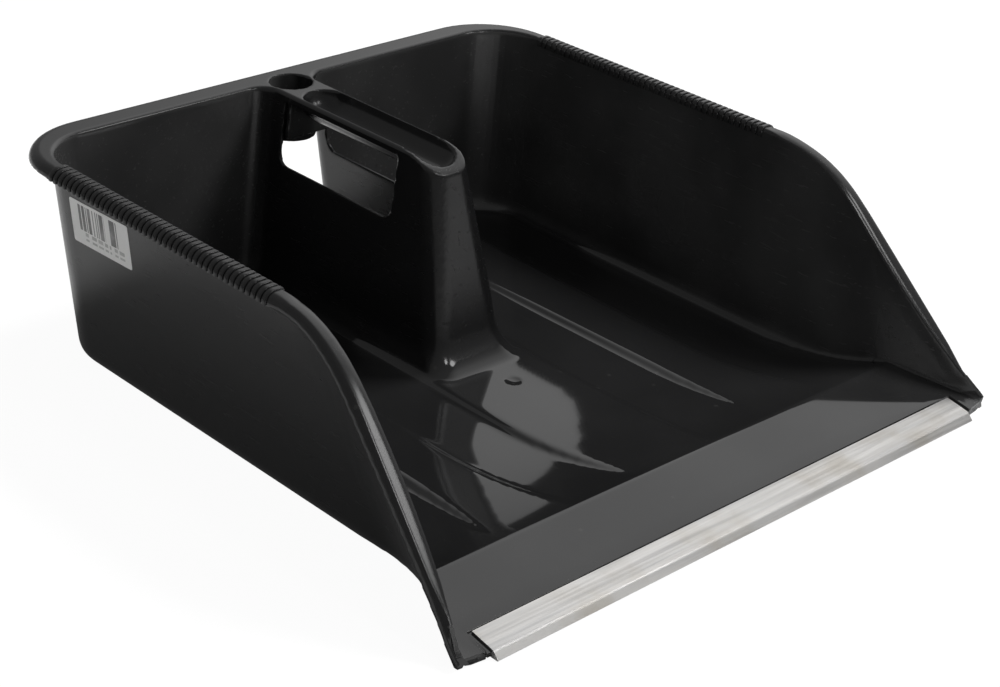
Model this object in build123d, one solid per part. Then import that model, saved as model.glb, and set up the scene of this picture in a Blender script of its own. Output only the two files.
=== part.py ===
from build123d import *
import os
from math import cos, hypot, radians, sin, sqrt, tan

os.makedirs("parts", exist_ok=True)

# Overall sizes in millimetres; the mouth of the pan is towards -Y
pan_depth = 428.0
rim_height = 128.4
wall = 2.6
front = -pan_depth / 2
back = pan_depth / 2

# Outside of the walls, which lean outwards as they rise and flare towards the mouth
side_lean = 0.086
rear_lean = 0.049
top_half_width = 186.5
rear_overhang = 17.7
corner_radius = 38.0
crease_at_ground = 71.0
crease_lean = 0.58
crease_radius = 90.0
crease_opening = 2.0
mouth_half_width = 214.5
foot_radius = 9.0
floor_fillet = 8.0
round_steps = 4
edge_round = 2.0

# Slope of the walls from the level rim down to the mouth
slope_angle = 45.0
slope_start = 1.0
slope_bend_radius = 90.0

# Rim: a flange rolled over at its outer edge
rim_half_width = 195.0
rim_mouth_half_width = 210.5
rim_corner_radius = 50.0
rim_crease = 150.0
rim_crease_radius = 150.0
rim_round = 6.0
rim_leg = 0.5
rim_drop = rim_round + rim_leg

# Floor, curved rise to the crest, ramp down to the front and the hollow under them
rise_start = 160.0
crest_at = 60.0
crest_height = 16.3
crest_radius = 2.0
ramp_slope = 0.215
front_bar = 28.0
recess_from_rise = 27.0
rise_radius = ((rise_start - crest_at) ** 2 + (crest_height - wall) ** 2) / (2 * (crest_height - wall))

# Raised bands of the floor: distance of their creases from the middle at the back, the rise and the crest
band_height = 2.5
band_back_run = 1.5
band_front_run = 6.0
band_sink = 0.4
band_steps = 6
centre_band = (36.5, 40.5, 28.5)
side_band_inner = (80.0, 80.5, 77.5)
side_band_outer = (126.0, 123.0, 133.0)
gate_from_keel = 30.0
gate_offset = 4.0
gate_radius = 13.0
gate_depth = 1.0

# Keel: the hollow handle in the middle, placed from the back of the rim
keel_top_half_width = 15.5
keel_lean = 0.12
keel_length_at_ground = 203.0
keel_front_lean = 0.215
keel_edge_radius = 12.5
keel_rear_fillet = 13.0
keel_foot_height = 20.0
keel_foot_side = 7.0
keel_foot_front = 22.0
keel_foot_steps = 8
brow_from_back = 148.0
brow_radius = 49.0
keel_front_at_ground = pan_depth - keel_length_at_ground
brow_start = pan_depth - brow_from_back

# Trough, web, broomstick socket and finger windows of the keel, placed from the back and from the rim
trough_radius = 13.0
trough_length = 102.0
trough_from_back = 59.0
web_height = 28.4
socket_from_back = 25.7
socket_radius = 13.5
socket_length = 34.0
window_length = 106.0
window_height = 40.0
window_from_back = 40.0
window_below_rim = 5.4
window_radius = 8.0
trough_rear = pan_depth - trough_from_back
trough_front = trough_rear - trough_length
socket_at = pan_depth - socket_from_back
window_rear = pan_depth - window_from_back
window_front = window_rear - window_length
window_top = rim_height - window_below_rim
window_bottom = window_top - window_height

# Ridged grips on the rim, from the last ridge forwards to the bend of the slope
grip_from_back = 58.5
grip_from_bend = 9.0
grip_pitch = 4.5
grip_inner_drop = 5.0
ridge_height = 1.0
ridge_width = 3.2
ridge_round = 0.9

# Metal lip and the tongue that it sits on
lip_length = 380.0
lip_depth = 19.2
lip_thickness = 1.2
lip_nose_back = 3.9
lip_nose_height = 4.7
lip_nose_radius = 4.0
lip_edge = 0.5
lip_under = 15.0
lip_clearance = 0.05
lip_gap = 1.0
lip_end_gap = 3.0
tongue_tip = 4.6
corner_inner_set_back = 5.5
corner_outer_set_back = 8.2

# Label on the left wall
label_length = 57.0
label_height = 27.0
label_thickness = 0.2
label_radius = 1.5
label_from_back = 89.5
label_below_rim = 29.9
label_tilt = 2.0

# How far bodies run past the faces that they cut or join, and how near a picked corner lies
spare = 20.0
overlap = 1.0
pick = 0.01


def at(distance):
    """Y of a point that lies this far behind the front edge."""
    return front + distance


def half_width(height):
    """Outside of the side walls behind the flare."""
    return top_half_width - side_lean * (rim_height - height)


def rear(height):
    """Outside of the rear wall."""
    return back - rear_overhang - rear_lean * (rim_height - height)


def face_of(points, rounded):
    """Face inside a closed line, with some of its corners rounded."""
    face = make_face(Polyline(*points, close=True))
    for (x, y), radius in rounded:
        corner = face.vertices().filter_by(lambda v: hypot(v.X - x, v.Y - y) < pick)
        face = fillet(corner, radius)
    return face


def plan(half, rounded):
    """Plan face from its right half, the same on the left."""
    points = half + [(-x, y) for x, y in reversed(half)]
    return face_of(points, rounded + [((-x, y), radius) for (x, y), radius in rounded])


def widen(side_face, half):
    """Body as wide as two halves, from a face in side view."""
    return extrude(Plane.YZ * side_face, amount=half, both=True)


def across(points, half, rounded=()):
    """Body as wide as two halves, from its side view in distance behind the front edge and height."""
    corners = [((at(d), z), radius) for (d, z), radius in rounded]
    return widen(face_of([(at(d), z) for d, z in points], corners), half)


def upright(distance):
    """Plane across the pan, with X to the right and Z up."""
    return Plane(origin=(0, at(distance), 0), x_dir=(1, 0, 0), z_dir=(0, -1, 0))


def top_round(radius):
    """Levels and offsets of a rounded edge at the top of the walls."""
    turns = [radians(90 * step / round_steps) for step in range(round_steps + 1)] if radius else []
    return [(rim_height - radius * (1 - sin(turn)), radius * (1 - cos(turn))) for turn in turns]


def tub_section(height, inset, reach):
    """Plan of the walls at one height, moved in by inset, running on past the front by reach."""
    crease = at(crease_at_ground + crease_lean * height)
    flare = (mouth_half_width - half_width(height)) / (crease - front)
    side = half_width(height) - inset
    corner = (side, rear(height) - inset)
    half = [corner, (side, crease), (side + flare * (crease - front + reach), front - reach)]
    rounded = [(corner, corner_radius - inset), ((side, crease), crease_radius + crease_opening * height)]
    return Pos(0, 0, height) * plan(half, rounded)


def tub(inset, low, radius, high, reach, flare=0):
    """Body inside the walls, with its lower edge rounded and its upper edge opening out by flare."""
    sections = []
    for step in range(round_steps + 1):
        turn = radians(90 * step / round_steps)
        sections.append(tub_section(low + radius * (1 - cos(turn)), inset + radius * (1 - sin(turn)), reach))
    for level, back_off in top_round(flare):
        sections.append(tub_section(level, inset - back_off, reach))
    sections.append(tub_section(high, inset - flare, reach))
    return loft(sections, ruled=True)


def floor_height(distance):
    """Top of the floor beside the bands."""
    if distance >= rise_start:
        return wall
    if distance >= crest_at:
        return wall + rise_radius - sqrt(rise_radius ** 2 - (rise_start - distance) ** 2)
    return crest_height - ramp_slope * (crest_at - distance)


def rise_face(start, drop, points):
    """Face in side view under the rise, lowered by drop, from start to the crest and on through points."""
    stops = [(at(d), floor_height(d) - drop) for d in (start, (start + crest_at) / 2, crest_at)]
    rest = [(at(d), z) for d, z in points]
    return make_face(ThreePointArc(*stops) + Polyline(stops[-1], *rest, stops[0]))


def band(inner_creases, outer_creases, sink):
    """Raised band with sloping sides that dies away up the rise to the crest, lowered by sink."""
    stations = [(pan_depth + spare, 0, band_back_run, inner_creases[0], outer_creases[0])]
    for step in range(band_steps + 1):
        distance = rise_start - (rise_start - crest_at) * step / band_steps
        share = (step / band_steps) ** 2
        inside, outside = [near + (far - near) * share for _, near, far in (inner_creases, outer_creases)]
        stations.append((distance, share, band_front_run, inside, outside))
    sections = []
    for distance, share, run, inside, outside in stations:
        height = band_height - (band_height + band_sink) * share
        level = floor_height(distance) - sink
        rise = run / band_height
        top = level + height
        base = level - overlap
        points = [(inside + rise * height, top), (outside - rise * height, top)]
        points += [(outside + rise * overlap, base), (inside - rise * overlap, base)]
        sections.append(upright(distance) * face_of(points, []))
    return loft(sections[:2], ruled=True) + loft(sections[1:], ruled=True)


def bands(sink):
    """The three bands of the floor."""
    right = band(side_band_inner, side_band_outer, sink)
    return [band([-x for x in centre_band], centre_band, sink), right, mirror(right, Plane.YZ)]


def keel_section(height, inset, spread):
    """Plan of the keel at one height, joined to the rear wall by hollow fillets."""
    side = keel_top_half_width + keel_lean * (rim_height - height) + keel_foot_side * spread - inset
    nose = at(keel_front_at_ground + keel_front_lean * height - keel_foot_front * spread) + inset
    join = rear(height) - wall + inset
    shelf = side + 2 * keel_rear_fillet
    half = [(side, nose), (side, join), (shelf, join), (shelf, back + spare)]
    rounded = [((side, nose), keel_edge_radius - inset), ((side, join), keel_rear_fillet + inset)]
    return Pos(0, 0, height) * plan(half, rounded)


def keel(inset, low, high, narrowing=0):
    """Body of the keel, spreading at its foot in a hollow curve, with its upper edge rounded by narrowing."""
    sections = [keel_section(low, inset, 1)]
    for step in range(1, keel_foot_steps + 1):
        turn = radians(90 * step / keel_foot_steps)
        sections.append(keel_section(wall + keel_foot_height * (1 - cos(turn)), inset, 1 - sin(turn)))
    for level, back_off in top_round(narrowing):
        sections.append(keel_section(level, inset + back_off, 0))
    sections.append(keel_section(high, inset + narrowing, 0))
    return loft(sections, ruled=True)


def brow(inset):
    """What lies above the front of the keel's top, which dips towards the nose."""
    wide = 4 * keel_top_half_width
    room = Box(wide, brow_radius, 2 * spare, align=(Align.CENTER, Align.MAX, Align.CENTER))
    curve = Rot(0, 90, 0) * Cylinder(brow_radius - inset, 2 * wide)
    end = at(brow_start)
    return Pos(0, end, rim_height) * room - Pos(0, end, rim_height - brow_radius) * curve


def trough(grow):
    """Half-round trough with ball ends along the top of the keel."""
    radius = trough_radius + grow
    middle = at(trough_front + trough_length / 2)
    bar = Pos(0, middle, rim_height) * Rot(90, 0, 0) * Cylinder(radius, trough_length)
    return bar + [Pos(0, at(d), rim_height) * Sphere(radius) for d in (trough_front, trough_rear)]


def below_profile(drop):
    """What lies below the level rim and its slope, moved down square to themselves by drop."""
    slope = tan(radians(slope_angle))
    level = rim_height - drop
    knee = slope_start + level / slope + drop / sin(radians(slope_angle))
    low = level - (knee + spare) * slope
    deep = low - spare
    end = pan_depth + spare
    points = [(end, level), (knee, level), (-spare, low), (-spare, deep), (end, deep)]
    return across(points, mouth_half_width + spare, [((knee, level), slope_bend_radius - drop)])


def rim_body(inset, drop, radius):
    """Body under the rim's outline, moved in by inset and down by drop, with its outer top edge rounded."""
    flare = (rim_mouth_half_width - rim_half_width) / rim_crease
    side = rim_half_width - inset
    corner = (side, back - inset)
    crease = (side, at(rim_crease))
    half = [corner, crease, (side + flare * (rim_crease + spare), front - spare)]
    outline = plan(half, [(corner, rim_corner_radius - inset), (crease, rim_crease_radius)])
    body = extrude(outline, amount=rim_height + spare) & below_profile(drop)
    upper = [e for f in body.faces() if f.normal_at().Z > pick for e in f.edges()]
    sides = [e for f in body.faces() if abs(f.normal_at().Z) < pick for e in f.edges()]
    outer_edges = [e for e in upper if any(e.is_same(other) for other in sides)]
    return fillet([e for e in outer_edges if e.center().Y > front - spare + pick], radius)


def grip_strip(grow, edge_radius, width):
    """Body over the rim from the inside of the wall to the outer edge, standing out by grow."""
    low = rim_height - grip_inner_drop
    top = rim_height + grow
    inside = half_width(rim_height) - wall - grow
    inside_low = half_width(low) - wall - grow
    outside = rim_half_width + grow
    foot = rim_height - rim_round - rim_leg / 2
    points = [(inside_low, low), (inside, top), (outside, top), (outside, foot)]
    rounded = [((inside, top), edge_radius), ((outside, top), rim_round + grow)]
    strip = face_of(points, rounded)
    return extrude(upright(pan_depth - grip_from_back) * strip, amount=width / 2, both=True)


def ridge():
    """One ridge of a grip, with a rounded crown."""
    strip = grip_strip(ridge_height, edge_round + ridge_height, ridge_width)
    middle = strip.bounding_box().center().X
    reach = strip.bounding_box().size.X / 4
    ends = [e for f in strip.faces().filter_by(Axis.Y) for e in f.edges()]
    crown = [e for e in ends if abs(e.center().X - middle) > reach or e.center().Z > rim_height]
    return fillet(crown, ridge_round) - grip_strip(-overlap, overlap, 2 * ridge_width)


def lip_height(distance):
    """Upper face of the metal lip, which carries the ramp on towards its nose."""
    top = floor_height(lip_depth)
    return top - (top - lip_nose_height) * (lip_depth - distance) / (lip_depth - lip_nose_back)


# Walls, floor and keel, still without their hollows
outer = tub(0, 0, foot_radius, rim_height, 0)
inner = tub(wall, wall, floor_fillet, rim_height + spare, spare, edge_round)
ramp_end = -2 * spare
floor_face = rise_face(rise_start, 0, [
    (ramp_end, floor_height(ramp_end)), (ramp_end, -spare), (pan_depth, -spare), (pan_depth, wall)])
crest = floor_face.vertices().filter_by(lambda v: hypot(v.X - at(crest_at), v.Y - crest_height) < pick)
floor_body = widen(fillet(crest, crest_radius), mouth_half_width + spare)
cavity = inner - floor_body
for piece in bands(0):
    cavity = cavity - piece
cavity = cavity - keel(0, wall - overlap, rim_height + overlap, edge_round)
moulding = outer - cavity
moulding = moulding & below_profile(0)

# Hollow of the keel round the trough, the web and the socket, with the windows through its sides
window = across(
    [(window_front, window_bottom), (window_rear, window_bottom), (window_rear, window_top),
     (window_front, window_top)],
    4 * keel_top_half_width,
    [((window_front, window_bottom), window_radius), ((window_rear, window_bottom), window_radius)])
web = Pos(0, at(trough_rear + trough_radius), rim_height - web_height) * Box(
    4 * keel_top_half_width, wall, rim_height, align=(Align.CENTER, Align.MIN, Align.MIN))
socket_low = Pos(0, at(socket_at), rim_height - socket_length)
upwards = (Align.CENTER, Align.CENTER, Align.MIN)
socket = socket_low * Cylinder(socket_radius + wall, socket_length - overlap, align=upwards)
bore = socket_low * Cylinder(socket_radius, 2 * socket_length)
hollow = keel(wall, -overlap, rim_height - wall) - brow(wall) + window
hollow = hollow - trough(wall) - web - socket
moulding = moulding - hollow - brow(0)
moulding = moulding + socket
moulding = moulding - trough(0)

# Hollow under the ramp and the bands
bar_under = floor_height(front_bar) - wall
recess_start = rise_start - recess_from_rise
recess = widen(
    rise_face(recess_start, wall, [(front_bar, bar_under), (front_bar, -overlap), (recess_start, -overlap)]),
    mouth_half_width + spare)
behind_bar = Pos(0, at(front_bar), 0) * Box(
    3 * mouth_half_width, 2 * pan_depth, 2 * rim_height, align=(Align.CENTER, Align.MIN, Align.CENTER))
for piece in bands(wall):
    recess = recess + (piece & behind_bar)
moulding = moulding - (recess & tub(wall, -overlap, overlap, rim_height, spare))

# Rim
rim = rim_body(0, 0, rim_round) - below_profile(rim_drop)
rim = rim - (rim_body(wall, wall, rim_round - wall) - outer) - inner
moulding = moulding + rim
moulding = moulding - bore

# Front edge: tongue for the lip between two corner blocks
bay = lip_length / 2 + lip_end_gap
shoulder = lip_depth + lip_gap
moulding = moulding - across(
    [(shoulder, -spare), (shoulder, 2 * spare), (ramp_end, 2 * spare), (ramp_end, -spare)], bay)
tongue_low = lip_thickness + lip_clearance
root = shoulder + overlap
moulding = moulding + across(
    [(root, tongue_low), (tongue_tip, tongue_low), (tongue_tip, lip_height(tongue_tip) - tongue_low),
     (root, lip_height(root) - tongue_low)],
    bay + overlap)
slant = face_of(
    [(bay, at(corner_inner_set_back)), (mouth_half_width, at(corner_outer_set_back)),
     (mouth_half_width + spare, front - spare), (bay, front - spare)], [])
corner_cut = extrude(Pos(0, 0, -spare) * slant, amount=4 * spare)
moulding = moulding - corner_cut - mirror(corner_cut, Plane.YZ)

# Gate mark on the centre band
gate_centre = wall + band_height + gate_radius - gate_depth
gate = Pos(gate_offset, at(keel_front_at_ground - gate_from_keel), gate_centre) * Sphere(gate_radius)
moulding = moulding - gate

# Ridged grips on both sides of the rim, as many as its level part takes
knee = slope_start + rim_height / tan(radians(slope_angle))
bend_end = knee + slope_bend_radius * tan(radians(slope_angle / 2))
grip_length = pan_depth - grip_from_back - bend_end - grip_from_bend
grip_count = int(grip_length / grip_pitch) + 1
first = ridge()
pair = [first, mirror(first, Plane.YZ)]
ridges = [Pos(0, -step * grip_pitch, 0) * piece for step in range(grip_count) for piece in pair]
moulding = moulding.fuse(*ridges)
export_step(moulding, "parts/pan_moulding.step")

# Metal lip, bent over the tongue
fold = tongue_tip - lip_clearance
metal_lip = across(
    [(lip_depth, lip_height(lip_depth)), (lip_nose_back, lip_nose_height), (0, lip_edge), (lip_edge, 0),
     (lip_under, 0), (lip_under, lip_thickness), (fold, lip_thickness),
     (fold, lip_height(fold) - lip_thickness), (lip_depth, lip_height(lip_depth) - lip_thickness)],
    lip_length / 2,
    [((lip_nose_back, lip_nose_height), lip_nose_radius)])
export_step(metal_lip, "parts/metal_lip.step")

# Label, stuck on the leaning wall
label_level = rim_height - label_below_rim
label_centre = (-half_width(label_level), back - label_from_back, label_level)
wall_face = Plane(origin=label_centre, x_dir=(0, -1, 0), z_dir=(-1, 0, -side_lean))
outline = wall_face * Rot(0, 0, label_tilt) * RectangleRounded(label_length, label_height, label_radius)
label = extrude(outline, amount=label_thickness)
export_step(label, "parts/label.step")
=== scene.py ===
import bmesh
import bpy
import numpy as np
from math import cos, radians, sin
from mathutils import Matrix, Vector


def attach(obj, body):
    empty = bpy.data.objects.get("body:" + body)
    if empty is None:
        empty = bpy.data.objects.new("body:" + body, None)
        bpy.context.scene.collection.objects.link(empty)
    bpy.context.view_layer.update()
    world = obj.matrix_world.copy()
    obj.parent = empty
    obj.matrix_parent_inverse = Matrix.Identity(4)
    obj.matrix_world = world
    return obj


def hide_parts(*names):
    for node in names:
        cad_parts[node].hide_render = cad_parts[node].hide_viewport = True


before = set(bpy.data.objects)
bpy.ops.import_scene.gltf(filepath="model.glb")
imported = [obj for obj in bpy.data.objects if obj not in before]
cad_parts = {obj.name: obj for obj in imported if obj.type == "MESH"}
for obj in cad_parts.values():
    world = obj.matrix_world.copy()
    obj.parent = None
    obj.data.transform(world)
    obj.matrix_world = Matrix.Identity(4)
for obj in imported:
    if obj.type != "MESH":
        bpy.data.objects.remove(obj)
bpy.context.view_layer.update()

scene = bpy.context.scene


# The pan: one shot of black polypropylene. Its floor and ramp are polished by the tool, its walls
# are satin, and the rolled rim with the grips is a little scuffed where hands and brooms rub it.
# Lengths are in metres. The sloping rims stand SLOPE_RUN higher than their y, up to RIM_LEVEL.
RIM_LEVEL = 0.1284
SLOPE_RUN = 0.213
CREST_Y = -0.154


def feed(tree, node, links):
    """Links or sets a node's inputs, by name or by number."""
    for key, value in links.items():
        if isinstance(value, bpy.types.NodeSocket):
            tree.links.new(value, node.inputs[key])
        else:
            node.inputs[key].default_value = value


def put(tree, kind, links=None, **settings):
    """A shader node with its settings and inputs."""
    node = tree.nodes.new("ShaderNode" + kind)
    for key, value in settings.items():
        setattr(node, key, value)
    feed(tree, node, links or {})
    return node


def shader_group(name, inputs, outputs):
    """A node group with named number or vector inputs and outputs."""
    group = bpy.data.node_groups.new(name, "ShaderNodeTree")
    for in_out, sockets in (("INPUT", inputs), ("OUTPUT", outputs)):
        for label, kind in sockets:
            group.interface.new_socket(label, in_out=in_out, socket_type="NodeSocket" + kind)
    entry = group.nodes.new("NodeGroupInput")
    leave = group.nodes.new("NodeGroupOutput")
    return group, entry.outputs, leave


def place(tree, group, links):
    """The outputs of a node group placed in a material."""
    return put(tree, "Group", links, node_tree=group).outputs


def calc(tree, operation, a, b=0.0, clamp=False):
    """The result of one operation on numbers."""
    return put(tree, "Math", {0: a, 1: b}, operation=operation, use_clamp=clamp).outputs[0]


def vector(tree, operation, a, b):
    """The result of one operation on vectors: a number for a dot product, else a vector."""
    result = "Value" if operation == "DOT_PRODUCT" else "Vector"
    return put(tree, "VectorMath", {0: a, 1: b}, operation=operation).outputs[result]


def spread(tree, value, limits, results=(0.0, 1.0)):
    """Moves a value from one range to another, softly and held at the ends."""
    links = {"Value": value, "From Min": limits[0], "From Max": limits[1]}
    links.update({"To Min": results[0], "To Max": results[1]})
    return put(tree, "MapRange", links, interpolation_type="SMOOTHSTEP").outputs["Result"]


def mix_colour(tree, share, first, second):
    """A colour between two others."""
    return put(tree, "Mix", {0: share, 6: first, 7: second}, data_type="RGBA").outputs[2]


def mix_number(tree, share, first, second):
    """A number between two others."""
    return put(tree, "Mix", {0: share, 2: first, 3: second}, data_type="FLOAT").outputs[0]


def new_material(name):
    """An empty material with its Principled shader and output."""
    material = bpy.data.materials.new(name)
    material.use_nodes = True
    tree = material.node_tree
    tree.nodes.clear()
    skin = put(tree, "BsdfPrincipled")
    put(tree, "OutputMaterial", {"Surface": skin.outputs["BSDF"]})
    return material, tree, skin


def finish_skin(tree, skin, colour, rough, height, strength, depth):
    """Gives a skin its colour, its roughness and its fine relief."""
    bump = put(tree, "Bump", {"Strength": strength, "Distance": depth, "Height": height})
    feed(tree, skin, {"Base Color": colour, "Roughness": rough, "Normal": bump.outputs["Normal"]})


# Dust specks and the short scuffs that grit leaves, on any surface that is used
SPECK_EDGE = (0.22, 0.06)
SCUFF_STRETCH = (9.0, 1.0, 9.0)
SCUFF_LIMITS = (0.58, 0.78)
dust_group, dust_in, dust_out = shader_group(
    "dust_and_scuffs",
    [("Place", "Vector"), ("Speck Scale", "Float"), ("Speck Share", "Float"), ("Scuff Scale", "Float")],
    [("Specks", "Float"), ("Scuffs", "Float")])
cells = put(dust_group, "TexVoronoi", {"Vector": dust_in["Place"], "Scale": dust_in["Speck Scale"]})
chance = put(dust_group, "TexWhiteNoise", {"Vector": cells.outputs["Position"]}, noise_dimensions="3D")
rare = calc(dust_group, "LESS_THAN", chance.outputs["Value"], dust_in["Speck Share"])
dot = spread(dust_group, cells.outputs["Distance"], SPECK_EDGE)
stretched = vector(dust_group, "MULTIPLY", dust_in["Place"], SCUFF_STRETCH)
lines = put(dust_group, "TexNoise", {
    "Vector": stretched, "Scale": dust_in["Scuff Scale"], "Detail": 3.0, "Roughness": 0.6})
feed(dust_group, dust_out, {
    "Specks": calc(dust_group, "MULTIPLY", rare, dot),
    "Scuffs": spread(dust_group, lines.outputs["Fac"], SCUFF_LIMITS)})

# Fine texture of a moulded or drawn face: a height for the bump and a slow change for the gloss
grain_group, grain_in, grain_out = shader_group(
    "fine_grain",
    [("Place", "Vector"), ("Grain Scale", "Float"), ("Cloud Scale", "Float")],
    [("Height", "Float"), ("Cloud", "Float")])
fine = put(grain_group, "TexNoise", {
    "Vector": grain_in["Place"], "Scale": grain_in["Grain Scale"], "Detail": 2.0})
cloud = put(grain_group, "TexNoise", {
    "Vector": grain_in["Place"], "Scale": grain_in["Cloud Scale"], "Detail": 4.0})
feed(grain_group, grain_out, {"Height": fine.outputs["Fac"], "Cloud": cloud.outputs["Fac"]})

# The plastic's colours, its roughness from place to place, the film of dust on what was swept, and the
# painted sheen that lightens the walls' inner faces
PLASTIC_BLACK = (0.0095, 0.0095, 0.0098, 1.0)
PLASTIC_DUSTED = (0.030, 0.030, 0.029, 1.0)
DUST_FILM_AND_SHEEN = (0.050, 0.050, 0.050, 1.0)
PLASTIC_IOR = 1.49
FLOOR_ROUGHNESS = 0.05
WALL_ROUGHNESS = 0.25
RIM_ROUGHNESS = 0.20
FLOOR_FACING = (0.45, 0.85)
POLISHED_HEIGHT = (0.026, 0.018)
RIM_DEPTH = (0.0085, 0.0045)
MEAN_CLOUD = 0.5
CLOUD_ROUGHENS = 0.6
SCUFF_ROUGHENS = 0.35
INNER_WALL_SHEEN = (-0.10, -0.17)
CREST_FADE = 0.002
FLOOR_FILM = 0.12
RAMP_FILM = 0.27
FILM_AND_SHEEN_CLOUDS = (0.36, 0.64)
FILM_AND_SHEEN_SHARES = (0.5, 1.0)
SPECK_COVER = 0.8
SCUFF_COVER = 0.10
PLASTIC_RELIEF = 0.12
PLASTIC_GRAIN = 0.00006

plastic, tree, skin = new_material("black_polypropylene")
place_on_pan = put(tree, "TexCoord").outputs["Object"]
where = put(tree, "SeparateXYZ", {0: place_on_pan}).outputs
facing_way = put(tree, "NewGeometry").outputs["Normal"]
facing = put(tree, "SeparateXYZ", {0: facing_way}).outputs
grain = place(tree, grain_group, {"Place": place_on_pan, "Grain Scale": 1400.0, "Cloud Scale": 11.0})
dust = place(tree, dust_group, {
    "Place": place_on_pan, "Speck Scale": 120.0, "Speck Share": 0.035, "Scuff Scale": 45.0})

looks_up = spread(tree, facing["Z"], FLOOR_FACING)
low_down = spread(tree, where["Z"], POLISHED_HEIGHT)
polished = calc(tree, "MULTIPLY", looks_up, low_down)
rim_top = calc(tree, "MINIMUM", calc(tree, "ADD", where["Y"], SLOPE_RUN), RIM_LEVEL)
on_rim = spread(tree, calc(tree, "SUBTRACT", rim_top, where["Z"]), RIM_DEPTH)
moulded = spread(tree, polished, (0.0, 1.0), (WALL_ROUGHNESS, FLOOR_ROUGHNESS))
unworn = mix_number(tree, on_rim, moulded, RIM_ROUGHNESS)
uneven = calc(tree, "MULTIPLY", calc(tree, "SUBTRACT", grain["Cloud"], MEAN_CLOUD), CLOUD_ROUGHENS)
scuffed = calc(tree, "MULTIPLY", dust["Scuffs"], SCUFF_ROUGHENS)
worn = calc(tree, "ADD", calc(tree, "ADD", uneven, scuffed), 1.0)
rough = calc(tree, "MULTIPLY", unworn, worn, clamp=True)

# Painted sheen: the walls' inner faces are painted lighter in place of the soft light that lies on them.
# The floor and the ramp get a film of dust. Both are patchy with the cloud.
painted_wall_sheen = spread(tree, vector(tree, "DOT_PRODUCT", facing_way, place_on_pan), INNER_WALL_SHEEN)
past_crest = (CREST_Y + CREST_FADE, CREST_Y - CREST_FADE)
swept = spread(tree, where["Y"], past_crest, (FLOOR_FILM, RAMP_FILM))
film_and_sheen = calc(tree, "ADD", painted_wall_sheen, calc(tree, "MULTIPLY", polished, swept), clamp=True)
film_and_sheen = calc(tree, "MULTIPLY", film_and_sheen, spread(tree, grain["Cloud"], FILM_AND_SHEEN_CLOUDS, FILM_AND_SHEEN_SHARES))
filmed_and_sheened = mix_colour(tree, film_and_sheen, PLASTIC_BLACK, DUST_FILM_AND_SHEEN)
specks = calc(tree, "MULTIPLY", dust["Specks"], SPECK_COVER)
scuffs = calc(tree, "MULTIPLY", dust["Scuffs"], SCUFF_COVER)
colour = mix_colour(tree, calc(tree, "ADD", specks, scuffs), filmed_and_sheened, PLASTIC_DUSTED)
satin = calc(tree, "MULTIPLY", grain["Height"], calc(tree, "SUBTRACT", 1.0, polished))
finish_skin(tree, skin, colour, rough, satin, PLASTIC_RELIEF, PLASTIC_GRAIN)
skin.inputs["IOR"].default_value = PLASTIC_IOR

# The pan's mesh has three zones: the solid's own mesh at the grips and the front edge, a fine even
# mesh on the walls' slopes, and a coarser even mesh elsewhere
WELD = 2e-6
PAN_CELL = 0.0012
SLOPE_CELL = 0.0007
SMOOTH_BELOW = radians(32)
FRONT_KEPT = -0.184
FRONT_INSIDE = 0.1955
CORNER_KEPT = -0.1955
CORNER_REAR = -0.146
FLOOR_BELOW = 0.034
GRIP_INSIDE = 0.170
GRIP_ABOVE = 0.113
GRIP_FRONT = -0.0425
GRIP_REAR = 0.1600


def add_piece(name, mesh):
    """An object with a mesh, in the scene."""
    piece = bpy.data.objects.new(name, mesh)
    scene.collection.objects.link(piece)
    return piece


def welded_mesh(node, name):
    """A copy of a solid's mesh with its faces joined at their edges."""
    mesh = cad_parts[node].data.copy()
    mesh.name = name
    mesh.materials.clear()
    welded = bmesh.new()
    welded.from_mesh(mesh)
    bmesh.ops.remove_doubles(welded, verts=welded.verts, dist=WELD)
    welded.to_mesh(mesh)
    welded.free()
    return mesh


def baked(piece):
    """The mesh of a piece with its modifiers applied; the piece itself goes."""
    depsgraph = bpy.context.evaluated_depsgraph_get()
    mesh = bpy.data.meshes.new_from_object(piece.evaluated_get(depsgraph))
    bpy.data.objects.remove(piece)
    return mesh


def spots_of(mesh):
    """The places of a mesh's vertices, one row for each."""
    spots = np.empty(3 * len(mesh.vertices))
    mesh.vertices.foreach_get("co", spots)
    return spots.reshape(-1, 3)


# The floor's rise: the field that is measured from above, and the cells over which it is faired
RISE_HALF = 0.170
RISE_FRONT = -0.152
RISE_REAR = -0.034
RISE_CELL = 0.002
RISE_ABOVE = 0.040
RISE_NEAR = 0.001
RISE_REACH = 8
RISE_FADE = 5


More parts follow.
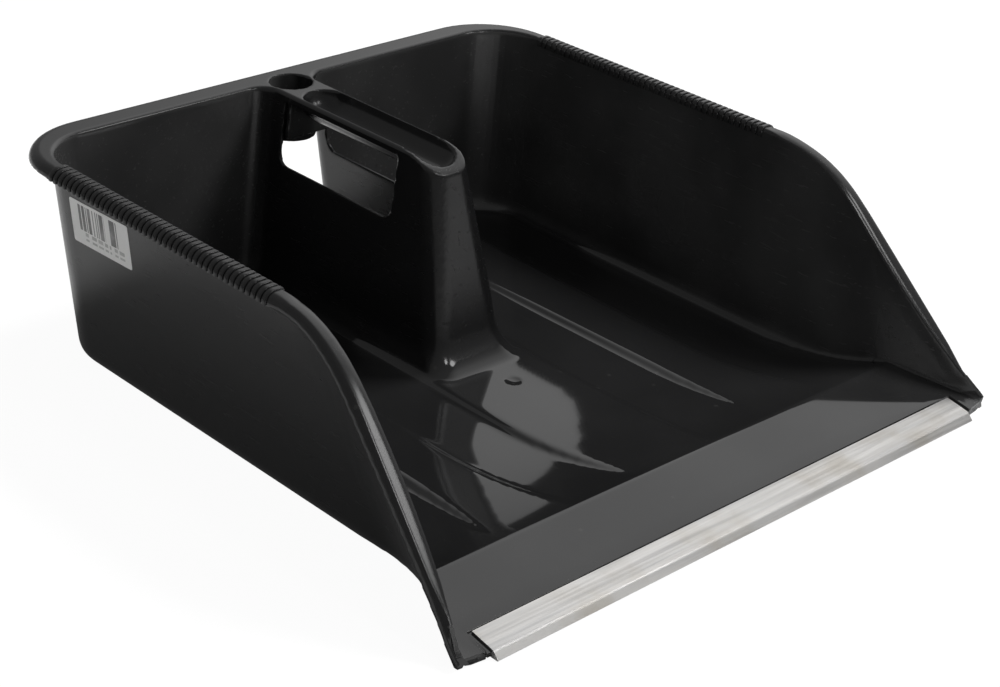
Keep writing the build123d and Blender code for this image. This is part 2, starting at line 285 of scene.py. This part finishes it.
def fair_rise(mesh, solid):
    """Draws the floor's rise as a fair curve from back to front, where the solid's mesh has flats."""
    columns = np.arange(-RISE_HALF, RISE_HALF, RISE_CELL)
    rows = np.arange(RISE_FRONT, RISE_REAR, RISE_CELL)
    bpy.context.view_layer.update()

    def level_at(x, y):
        return solid.ray_cast((x, y, RISE_ABOVE), (0, 0, -1))[1].z

    level = np.array([[level_at(x, y) for y in rows] for x in columns])
    shift = np.zeros_like(level)
    for i, y in enumerate(rows):
        near = slice(max(i - RISE_REACH, 0), i + RISE_REACH + 1)
        parabola = np.polyfit(rows[near] - y, level[:, near].T, deg=2)
        shift[:, i] = parabola[-1] - level[:, i]
    from_rear = np.arange(len(rows))[::-1] / RISE_FADE
    from_side = np.minimum(np.arange(len(columns)), np.arange(len(columns))[::-1]) / RISE_FADE
    shift *= np.clip(from_rear, 0, 1) * np.clip(from_side, 0, 1)[:, None]
    spots = spots_of(mesh)
    u = (spots[:, 0] + RISE_HALF) / RISE_CELL
    v = (spots[:, 1] - RISE_FRONT) / RISE_CELL
    over = np.flatnonzero((u >= 0) & (v >= 0) & (u < len(columns) - 1) & (v < len(rows) - 1))
    i, j = u[over].astype(int), v[over].astype(int)
    s, t = u[over] - i, v[over] - j

    def between_cells(grid):
        front_side = (1 - s) * grid[i, j] + s * grid[i + 1, j]
        rear_side = (1 - s) * grid[i, j + 1] + s * grid[i + 1, j + 1]
        return (1 - t) * front_side + t * rear_side

    on_top = np.abs(spots[over, 2] - between_cells(level)) < RISE_NEAR
    spots[over, 2] += between_cells(shift) * on_top
    mesh.vertices.foreach_set("co", spots.ravel())


# The sloping rims: where their dressing ends, how far it reaches down, and how it changes over the
# span from the mouth to the bend
CROWN_REAR = -0.0445
CROWN_REAR_FADE = 0.010
CROWN_FRONT_FADE = 0.016
CROWN_STEP = 0.001
CROWN_AVERAGE = 25
CROWN_DEPTH = (0.002, 0.008)
CROWN_SPAN = (-0.180, -0.110)
CROWN_LIFT = (0.0015, 0.0006)
BEVEL_WIDTH = (0.0010, 0.0022)
BEVEL_TILT = radians(25)
BEVEL_NEAR = 0.0006


def faired(values):
    """A running average that keeps both ends where they are."""
    padded = np.pad(values, CROWN_AVERAGE // 2, mode="reflect", reflect_type="odd")
    return np.convolve(padded, np.ones(CROWN_AVERAGE) / CROWN_AVERAGE, "valid")


def dress_slopes(mesh):
    """Draws the sloping rims as fair lines, with a wider flat on top and a bevel on the inside."""
    spots = spots_of(mesh)
    at_slope = np.flatnonzero((np.abs(spots[:, 0]) > GRIP_INSIDE) & (spots[:, 1] < CROWN_REAR))
    x, y, z = np.abs(spots[at_slope, 0]), spots[at_slope, 1], spots[at_slope, 2]
    over_line = z - np.minimum(RIM_LEVEL, y + SLOPE_RUN)
    row = ((y - y.min()) / CROWN_STEP).astype(int)
    rows = y.min() + (np.arange(row.max() + 1) + 0.5) * CROWN_STEP
    top = np.full(len(rows), -1.0)
    np.maximum.at(top, row, over_line)
    on_top = over_line > top[row] - BEVEL_NEAR
    inner = np.full(len(rows), 1.0)
    np.minimum.at(inner, row[on_top], x[on_top])
    rim_line = np.minimum(RIM_LEVEL, rows + SLOPE_RUN) + top
    fair_line = faired(rim_line)
    upright = np.interp(y, rows, 1 / np.sqrt(1 + np.gradient(fair_line, rows) ** 2))
    depth = np.maximum(np.interp(y, rows, top) - over_line, 0) * upright
    below = np.clip((depth - CROWN_DEPTH[0]) / (CROWN_DEPTH[1] - CROWN_DEPTH[0]), 0, 1)
    ends = np.minimum((CROWN_REAR - y) / CROWN_REAR_FADE, (y - CORNER_KEPT) / CROWN_FRONT_FADE)
    share = np.clip(ends, 0, 1) * (1 - below * below * (3 - 2 * below))
    lift = np.interp(y, CROWN_SPAN, CROWN_LIFT)
    width = np.interp(y, CROWN_SPAN, BEVEL_WIDTH)
    bevel = np.clip(np.interp(y, rows, faired(inner)) + width - x, 0, width) * np.tan(BEVEL_TILT)
    dressed = np.maximum(np.maximum(depth - lift * share, bevel * share), 0)
    spots[at_slope, 2] += (depth - dressed) / upright + share * np.interp(y, rows, fair_line - rim_line)
    mesh.vertices.foreach_set("co", spots.ravel())


def even_mesh(solid_mesh, cell):
    """An even mesh laid on a solid, with the rise and the sloping rims drawn fair."""
    solid = add_piece("solid", solid_mesh)
    laid_skin = add_piece("skin", solid_mesh.copy())
    even = laid_skin.modifiers.new("even_cells", "REMESH")
    even.mode = "VOXEL"
    even.voxel_size = cell
    laid = laid_skin.modifiers.new("laid_on", "SHRINKWRAP")
    laid.target = solid
    laid.wrap_method = "NEAREST_SURFACEPOINT"
    mesh = baked(laid_skin)
    fair_rise(mesh, solid)
    dress_slopes(mesh)
    bpy.data.objects.remove(solid)
    return mesh


# The rounding: rounds of smoothing for all edges and for the blended places, the crest and the mark
# of the moulding gate that stay crisp, and the margin over which it fades beside the solid's own mesh
EDGE_ROUNDS = 3
SOFT_ROUNDS = 14
SLOPE_ROUNDS = 18
SMOOTH_FACTOR = 0.5
CREST_KEPT = 0.004
GATE = (0.004, -0.019)
GATE_KEPT = 0.008
KEPT_MARGIN = 0.006
MARGIN_STEPS = 10


def is_soft(spot):
    """Where the mould is blended: the floor with its bands and feet, and the walls' sloping edges."""
    x, y, z = spot
    if z < FLOOR_BELOW:
        by_gate = (x - GATE[0]) ** 2 + (y - GATE[1]) ** 2 < GATE_KEPT ** 2
        return abs(y - CREST_Y) > CREST_KEPT and not by_gate
    return y < GRIP_FRONT


def margin_step(spot):
    """How far a spot lies from the grips and the front edge, in steps up to the whole margin."""
    x, y, z = spot
    from_grip = max(GRIP_INSIDE - abs(x), GRIP_ABOVE - z, GRIP_FRONT - y, y - GRIP_REAR)
    from_front = max(y - FRONT_KEPT, abs(x) - FRONT_INSIDE)
    share = min(from_grip, from_front, y - CORNER_KEPT) / KEPT_MARGIN
    return round(MARGIN_STEPS * min(max(share, 0.0), 1.0))


def soften(mesh, soft_rounds):
    """The mesh with all its edges a little rounded, and the blended ones more."""
    piece = add_piece("softened", mesh)
    steps = [margin_step(vert.co) for vert in mesh.vertices]
    soft = [is_soft(vert.co) for vert in mesh.vertices]
    for name, rounds, only_soft in (("edges", EDGE_ROUNDS, False), ("blends", soft_rounds, True)):
        group = piece.vertex_groups.new(name=name)
        for step in range(1, MARGIN_STEPS + 1):
            chosen = [i for i, at in enumerate(steps) if at == step and (soft[i] or not only_soft)]
            group.add(chosen, step / MARGIN_STEPS, "REPLACE")
        smooth = piece.modifiers.new(name, "SMOOTH")
        smooth.factor = SMOOTH_FACTOR
        smooth.iterations = rounds
        smooth.vertex_group = name
    return baked(piece)


def zone_of(spot):
    """Which of the three meshes draws a spot."""
    x, y, z = abs(spot[0]), spot[1], spot[2]
    if y < CORNER_KEPT or (y < FRONT_KEPT and x < FRONT_INSIDE):
        return "solid"
    if x > GRIP_INSIDE and z > GRIP_ABOVE and GRIP_FRONT < y < GRIP_REAR:
        return "solid"
    on_slope = y < CORNER_REAR or (z > FLOOR_BELOW and y < GRIP_FRONT)
    return "slope" if x > GRIP_INSIDE and on_slope else "even"


def keep_zone(body, mesh, zone):
    """Adds what a mesh has in one zone to the body, cut along the zones' limits."""
    part = bmesh.new()
    part.from_mesh(mesh)
    cuts = [(x, (1, 0, 0)) for x in (-FRONT_INSIDE, -GRIP_INSIDE, GRIP_INSIDE, FRONT_INSIDE)]
    cuts += [(y, (0, 1, 0)) for y in (CORNER_KEPT, FRONT_KEPT, CORNER_REAR, GRIP_FRONT, GRIP_REAR)]
    cuts += [(z, (0, 0, 1)) for z in (FLOOR_BELOW, GRIP_ABOVE)]
    for distance, direction in cuts:
        everything = part.verts[:] + part.edges[:] + part.faces[:]
        point = distance * Vector(direction)
        bmesh.ops.bisect_plane(part, geom=everything, dist=WELD, plane_co=point, plane_no=direction)
    outside = [face for face in part.faces if zone_of(face.calc_center_median()) != zone]
    bmesh.ops.delete(part, geom=outside, context="FACES")
    kept = bpy.data.meshes.new(zone)
    part.to_mesh(kept)
    part.free()
    body.from_mesh(kept)
    bpy.data.meshes.remove(kept)


def smooth_piece(name, mesh):
    """A piece shaded smooth up to its sharp edges, with flat faces kept flat beside small rounded ones."""
    mesh.shade_smooth()
    mesh.set_sharp_from_angle(angle=SMOOTH_BELOW)
    piece = add_piece("weighted", mesh)
    flat_first = piece.modifiers.new("flat_first", "WEIGHTED_NORMAL")
    flat_first.keep_sharp = True
    return add_piece(name, baked(piece))


pan_solid = welded_mesh("pan_moulding", "pan_solid")
whole = bmesh.new()
keep_zone(whole, pan_solid, "solid")
keep_zone(whole, soften(even_mesh(pan_solid, SLOPE_CELL), SLOPE_ROUNDS), "slope")
keep_zone(whole, soften(even_mesh(pan_solid, PAN_CELL), SOFT_ROUNDS), "even")
pan_mesh = bpy.data.meshes.new("pan")
whole.to_mesh(pan_mesh)
whole.free()
pan_mesh.materials.append(plastic)
pan = smooth_piece("pan", pan_mesh)
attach(pan, "root")
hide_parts("pan_moulding")


# The metal lip: a strip of drawn aluminium bent over the tongue at the front edge. The drawing die
# leaves fine lines along it, and use leaves faint stains.
LIP_COLOUR = (0.63, 0.62, 0.605, 1.0)
LIP_STAIN = (0.52, 0.495, 0.455, 1.0)
LIP_STREAK = (0.50, 0.50, 0.50, 1.0)
DRAWN_STRETCH = (0.02, 1.0, 1.0)
STAIN_LIMITS = (0.48, 0.72)
STREAK_LIMITS = (0.46, 0.66)
STREAK_COVER = 0.6
DRAWN_LIMITS = (0.3, 0.7)
DRAWN_ROUGHNESS = (0.34, 0.52)
LIP_RELIEF = 0.25
LIP_GRAIN = 0.00003

aluminium, tree, skin = new_material("drawn_aluminium")
place_on_lip = put(tree, "TexCoord").outputs["Object"]
along = vector(tree, "MULTIPLY", place_on_lip, DRAWN_STRETCH)
drawn = place(tree, grain_group, {"Place": along, "Grain Scale": 2600.0, "Cloud Scale": 700.0})
stains = place(tree, grain_group, {"Place": place_on_lip, "Grain Scale": 240.0, "Cloud Scale": 26.0})
streaks = place(tree, grain_group, {"Place": along, "Grain Scale": 900.0, "Cloud Scale": 330.0})
streaked = calc(tree, "MULTIPLY", spread(tree, streaks["Cloud"], STREAK_LIMITS), STREAK_COVER)
clean = mix_colour(tree, streaked, LIP_COLOUR, LIP_STREAK)
colour = mix_colour(tree, spread(tree, stains["Cloud"], STAIN_LIMITS), clean, LIP_STAIN)
rough = spread(tree, drawn["Cloud"], DRAWN_LIMITS, DRAWN_ROUGHNESS)
finish_skin(tree, skin, colour, rough, drawn["Height"], LIP_RELIEF, LIP_GRAIN)
skin.inputs["Metallic"].default_value = 1.0

lip_mesh = welded_mesh("metal_lip", "lip")
lip_mesh.materials.append(aluminium)
lip = smooth_piece("lip", lip_mesh)
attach(lip, "root")
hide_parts("metal_lip")


# The label: a paper sticker on the left wall, printed with plain bars that stand for no code and with
# two rows of dashes below them. The ink sits a little glossier than the paper.
PAPER = (0.82, 0.82, 0.81, 1.0)
INK = (0.09, 0.09, 0.09, 1.0)
LABEL_CENTRE = (0.0, 0.1245, 0.0985)
LABEL_TILT = radians(2)
BAR_GROUPS = ((-0.0205, 0.0050), (0.0100, 0.0170))
BAR_HEIGHT = (-0.0043, 0.0116)
BAR_WIDTH = 0.00095
BAR_SEED = 23.7
BAR_SHARE = 0.54
DASH_ROWS = ((-0.0073, -0.0050), (-0.0102, -0.0088))
DASH_SPAN = (-0.0185, 0.0225)
DASH_LENGTH = 0.0016
DASH_SEED = 47.9
DASH_SHARE = 0.62
DASH_INK = 0.55
WORN_LIMITS = (0.35, 0.75)
WORN_INK = (0.95, 0.7)
PRINT_ROUGHNESS = (0.62, 0.45)
PAPER_RELIEF = 0.15
PAPER_GRAIN = 0.00003

paper, tree, skin = new_material("printed_paper")
place_on_label = put(tree, "TexCoord").outputs["Object"]
from_centre = vector(tree, "SUBTRACT", place_on_label, LABEL_CENTRE)
along = vector(tree, "DOT_PRODUCT", from_centre, (0.0, -cos(LABEL_TILT), sin(LABEL_TILT)))
up = vector(tree, "DOT_PRODUCT", from_centre, (0.0, sin(LABEL_TILT), cos(LABEL_TILT)))


def between(value, low, high):
    """One where the value lies between two limits, else zero."""
    above = calc(tree, "GREATER_THAN", value, low)
    return calc(tree, "MULTIPLY", above, calc(tree, "LESS_THAN", value, high))


def stripes(width, seed, share):
    """Stripes across the label, inked or bare by chance."""
    step = calc(tree, "FLOOR", calc(tree, "DIVIDE", along, width))
    draw = put(tree, "TexWhiteNoise", {"W": calc(tree, "ADD", step, seed)}, noise_dimensions="1D")
    return calc(tree, "LESS_THAN", draw.outputs["Value"], share)


bar_field = calc(tree, "ADD", *[between(along, *group) for group in BAR_GROUPS])
bar_field = calc(tree, "MULTIPLY", bar_field, between(up, *BAR_HEIGHT))
bars = calc(tree, "MULTIPLY", bar_field, stripes(BAR_WIDTH, BAR_SEED, BAR_SHARE))
dash_field = calc(tree, "ADD", *[between(up, *row) for row in DASH_ROWS])
dash_field = calc(tree, "MULTIPLY", dash_field, between(along, *DASH_SPAN))
dashes = calc(tree, "MULTIPLY", dash_field, stripes(DASH_LENGTH, DASH_SEED, DASH_SHARE))
printed = calc(tree, "ADD", bars, calc(tree, "MULTIPLY", dashes, DASH_INK), clamp=True)
fibres = place(tree, grain_group, {"Place": place_on_label, "Grain Scale": 2200.0, "Cloud Scale": 90.0})
inked = calc(tree, "MULTIPLY", printed, spread(tree, fibres["Cloud"], WORN_LIMITS, WORN_INK))
colour = mix_colour(tree, inked, PAPER, INK)
rough = spread(tree, printed, (0.0, 1.0), PRINT_ROUGHNESS)
finish_skin(tree, skin, colour, rough, fibres["Height"], PAPER_RELIEF, PAPER_GRAIN)

label_mesh = welded_mesh("label", "sticker")
label_mesh.materials.append(paper)
label = add_piece("sticker", label_mesh)
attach(label, "root")
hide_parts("label")


# The studio floor: a white sweep just below the pan. The camera sees it nearly as bright as the
# photograph's empty background, while to the pan it is plain matt white.
FLOOR_HALF = 6.0
FLOOR_DROP = 0.0002
FLOOR_WHITE = (0.86, 0.86, 0.86, 1.0)
GLOW_WHITE = (1.0, 1.0, 1.0, 1.0)
GLOW_STRENGTH = 1.08
GLOW_SHARE = 0.88
corners = [(-1, -1), (1, -1), (1, 1), (-1, 1)]
floor_mesh = bpy.data.meshes.new("studio_floor")
floor_mesh.from_pydata([(x * FLOOR_HALF, y * FLOOR_HALF, 0) for x, y in corners], [], [(0, 1, 2, 3)])
floor = add_piece("studio_floor", floor_mesh)
floor.location.z = -FLOOR_DROP
sweep = bpy.data.materials.new("white_sweep")
sweep.use_nodes = True
tree = sweep.node_tree
tree.nodes.clear()
matt = put(tree, "BsdfDiffuse", {"Color": FLOOR_WHITE})
glow = put(tree, "Emission", {"Color": GLOW_WHITE, "Strength": GLOW_STRENGTH})
seen = put(tree, "LightPath")
share = calc(tree, "MULTIPLY", seen.outputs["Is Camera Ray"], GLOW_SHARE)
mixed = put(tree, "MixShader", {0: share, 1: matt.outputs[0], 2: glow.outputs[0]})
put(tree, "OutputMaterial", {"Surface": mixed.outputs[0]})
floor_mesh.materials.append(sweep)


# The room: white where the camera sees it, dim as a light, and in the gloss a grey room with one
# bright side, which is what the polished floor and the rims mirror.
ROOM_WHITE = (1.0, 1.0, 1.0, 1.0)
ROOM_LIGHT = 0.11
ROOM_MIRRORED = 0.24
WINDOW_MIRRORED = 1.28
WINDOW_AT = Vector((0.72, 0.25, 0.65)).normalized()
WINDOW_EDGE = (0.74, 0.97)
world = bpy.data.worlds.new("white_room")
scene.world = world
world.use_nodes = True
tree = world.node_tree
tree.nodes.clear()
seen = put(tree, "LightPath")
open_view = calc(tree, "MAXIMUM", seen.outputs["Is Camera Ray"], seen.outputs["Is Transmission Ray"])
in_view = calc(tree, "MAXIMUM", open_view, seen.outputs["Is Glossy Ray"])
towards = vector(tree, "DOT_PRODUCT", put(tree, "TexCoord").outputs["Generated"], WINDOW_AT)
mirrored = put(tree, "MapRange", {
    "Value": towards, "From Min": WINDOW_EDGE[0], "From Max": WINDOW_EDGE[1],
    "To Min": ROOM_MIRRORED, "To Max": WINDOW_MIRRORED}).outputs["Result"]
room = mix_number(tree, in_view, ROOM_LIGHT, calc(tree, "MAXIMUM", mirrored, open_view))
backdrop = put(tree, "Background", {"Color": ROOM_WHITE, "Strength": room})
put(tree, "OutputWorld", {"Surface": backdrop.outputs[0]})


# The lamps: four soft round ones. The right and front lamps also draw the bright lines that the
# sloping rims and the lip mirror; the key lamp and the left lamp only light.
def soft_lamp(name, size, power, at, target, in_gloss):
    """A round lamp that looks at a spot."""
    data = bpy.data.lights.new(name, "AREA")
    data.shape = "DISK"
    data.size = size
    data.energy = power
    lamp = bpy.data.objects.new(name, data)
    lamp.location = at
    lamp.rotation_euler = (Vector(target) - Vector(at)).to_track_quat("-Z", "Y").to_euler()
    lamp.visible_glossy = in_gloss
    scene.collection.objects.link(lamp)


PAN_MIDDLE = (0.0, 0.0, 0.05)
LEFT_SLOPE = (-0.2, -0.1, 0.08)
soft_lamp("key_lamp", size=0.7, power=45.0, at=(1.20, -0.05, 1.75), target=PAN_MIDDLE, in_gloss=False)
soft_lamp("right_lamp", size=0.55, power=5.4, at=(1.08, -1.24, 1.62), target=LEFT_SLOPE, in_gloss=True)
soft_lamp("front_lamp", size=0.45, power=4.4, at=(0.24, -1.48, 1.80), target=PAN_MIDDLE, in_gloss=True)
soft_lamp("left_lamp", size=0.9, power=2.6, at=(-1.4, 0.5, 0.9), target=(0.0, 0.05, 0.05), in_gloss=False)
scene.view_settings.view_transform = "Standard"


# The camera: where the photograph was taken from, with the lens, place and roll that were fitted to it
SENSOR_WIDTH = 36.0
FOCAL_LENGTH = 78.655
CAMERA_AT = (-0.79685, -0.81811, 0.61271)
CAMERA_TURN = radians(-44.59)
CAMERA_TILT = radians(90 - 27.30)
CAMERA_ROLL = radians(3.35)
lens = bpy.data.cameras.new("camera")
lens.sensor_fit = "HORIZONTAL"
lens.sensor_width = SENSOR_WIDTH
lens.lens = FOCAL_LENGTH
camera = bpy.data.objects.new("camera", lens)
turn = Matrix.Rotation(CAMERA_TURN, 4, "Z")
tilt = Matrix.Rotation(CAMERA_TILT, 4, "X")
roll = Matrix.Rotation(CAMERA_ROLL, 4, "Z")
camera.matrix_world = Matrix.Translation(CAMERA_AT) @ turn @ tilt @ roll
scene.collection.objects.link(camera)
scene.camera = camera
